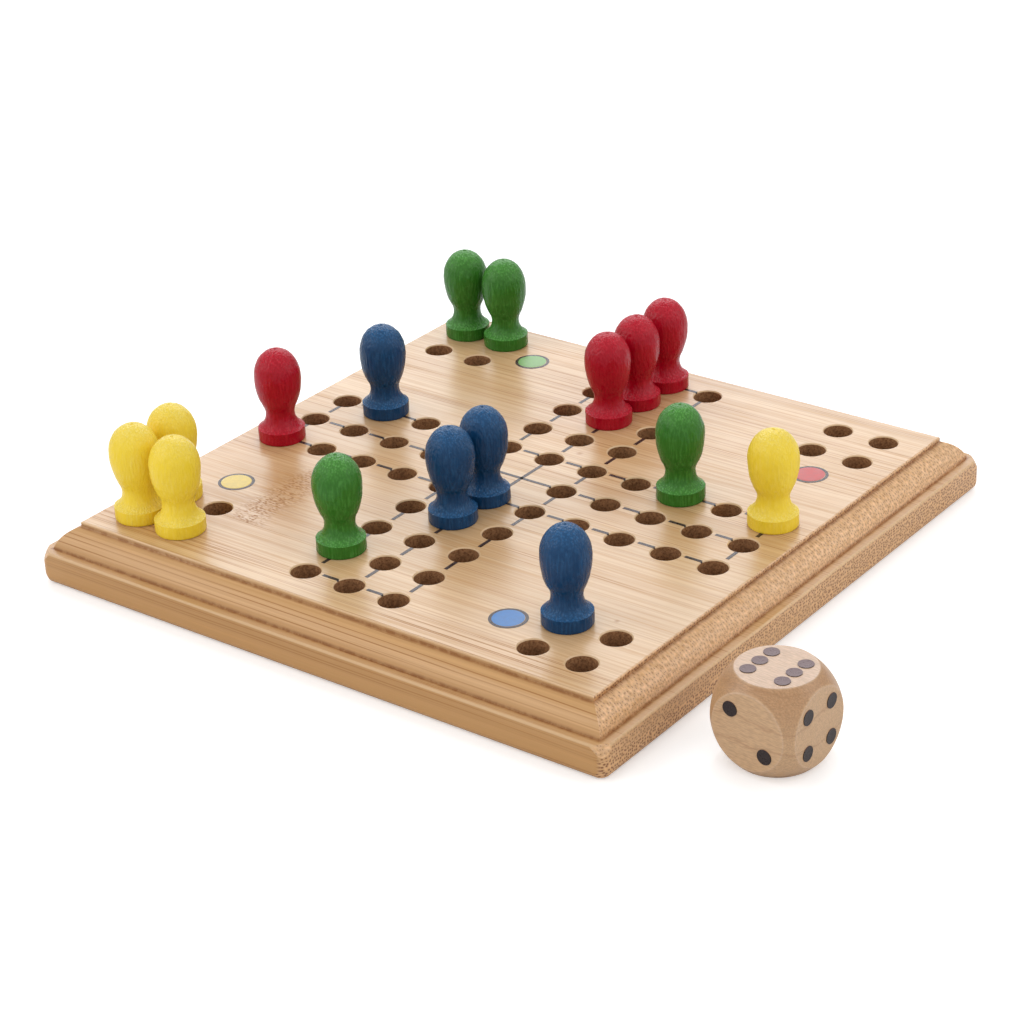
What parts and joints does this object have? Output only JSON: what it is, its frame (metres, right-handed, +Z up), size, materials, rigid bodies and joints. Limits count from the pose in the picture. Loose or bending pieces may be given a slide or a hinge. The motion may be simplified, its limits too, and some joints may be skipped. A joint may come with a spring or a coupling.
{
  "type": "pegged ludo board game",
  "caption": "Small square bamboo ludo board with a moulded edge, blind peg holes in a cross and corner yards, turned pegged pawns in four colours and a wooden die.",
  "frame": {"origin": "centre of the board's flat underside, on the table top", "axes": "+Z up out of the playing surface, +X along the board's bamboo strips towards the die, +Y across the strips"},
  "size_m": [0.1455, 0.12, 0.0285],
  "materials": {
    "bamboo": "satin varnish",
    "yellow_paint": "satin paint over wood grain",
    "blue_paint": "satin paint over wood grain",
    "green_paint": "satin paint over wood grain",
    "red_paint": "satin paint over wood grain",
    "die_wood": "satin, pips painted black"
  },
  "bodies": {
    "board": {"board": "bamboo"},
    "yellow_pawn_1": {"yellow_pawn_1": "yellow_paint"},
    "yellow_pawn_2": {"yellow_pawn_2": "yellow_paint"},
    "yellow_pawn_3": {"yellow_pawn_3": "yellow_paint"},
    "yellow_pawn_4": {"yellow_pawn_4": "yellow_paint"},
    "blue_pawn_1": {"blue_pawn_1": "blue_paint"},
    "blue_pawn_2": {"blue_pawn_2": "blue_paint"},
    "blue_pawn_3": {"blue_pawn_3": "blue_paint"},
    "blue_pawn_4": {"blue_pawn_4": "blue_paint"},
    "green_pawn_1": {"green_pawn_1": "green_paint"},
    "green_pawn_2": {"green_pawn_2": "green_paint"},
    "green_pawn_3": {"green_pawn_3": "green_paint"},
    "green_pawn_4": {"green_pawn_4": "green_paint"},
    "red_pawn_1": {"red_pawn_1": "red_paint"},
    "red_pawn_2": {"red_pawn_2": "red_paint"},
    "red_pawn_3": {"red_pawn_3": "red_paint"},
    "red_pawn_4": {"red_pawn_4": "red_paint"},
    "die": {"die": "die_wood"}
  },
  "joints": [
    {"name": "yellow_pawn_1_lift", "type": "slide", "parent": "board", "child": "yellow_pawn_1", "axis": [0, 0, 1], "range_m": [0, 0.03]},
    {"name": "yellow_pawn_2_lift", "type": "slide", "parent": "board", "child": "yellow_pawn_2", "axis": [0, 0, 1], "range_m": [0, 0.03]},
    {"name": "yellow_pawn_3_lift", "type": "slide", "parent": "board", "child": "yellow_pawn_3", "axis": [0, 0, 1], "range_m": [0, 0.03]},
    {"name": "yellow_pawn_4_lift", "type": "slide", "parent": "board", "child": "yellow_pawn_4", "axis": [0, 0, 1], "range_m": [0, 0.03]},
    {"name": "blue_pawn_1_lift", "type": "slide", "parent": "board", "child": "blue_pawn_1", "axis": [0, 0, 1], "range_m": [0, 0.03]},
    {"name": "blue_pawn_2_lift", "type": "slide", "parent": "board", "child": "blue_pawn_2", "axis": [0, 0, 1], "range_m": [0, 0.03]},
    {"name": "blue_pawn_3_lift", "type": "slide", "parent": "board", "child": "blue_pawn_3", "axis": [0, 0, 1], "range_m": [0, 0.03]},
    {"name": "blue_pawn_4_lift", "type": "slide", "parent": "board", "child": "blue_pawn_4", "axis": [0, 0, 1], "range_m": [0, 0.03]},
    {"name": "green_pawn_1_lift", "type": "slide", "parent": "board", "child": "green_pawn_1", "axis": [0, 0, 1], "range_m": [0, 0.03]},
    {"name": "green_pawn_2_lift", "type": "slide", "parent": "board", "child": "green_pawn_2", "axis": [0, 0, 1], "range_m": [0, 0.03]},
    {"name": "green_pawn_3_lift", "type": "slide", "parent": "board", "child": "green_pawn_3", "axis": [0, 0, 1], "range_m": [0, 0.03]},
    {"name": "green_pawn_4_lift", "type": "slide", "parent": "board", "child": "green_pawn_4", "axis": [0, 0, 1], "range_m": [0, 0.03]},
    {"name": "red_pawn_1_lift", "type": "slide", "parent": "board", "child": "red_pawn_1", "axis": [0, 0, 1], "range_m": [0, 0.03]},
    {"name": "red_pawn_2_lift", "type": "slide", "parent": "board", "child": "red_pawn_2", "axis": [0, 0, 1], "range_m": [0, 0.03]},
    {"name": "red_pawn_3_lift", "type": "slide", "parent": "board", "child": "red_pawn_3", "axis": [0, 0, 1], "range_m": [0, 0.03]},
    {"name": "red_pawn_4_lift", "type": "slide", "parent": "board", "child": "red_pawn_4", "axis": [0, 0, 1], "range_m": [0, 0.03]},
    {"name": "die_lift", "type": "slide", "parent": "board", "child": "die", "axis": [0, 0, 1], "range_m": [0, 0.05]}
  ]
}
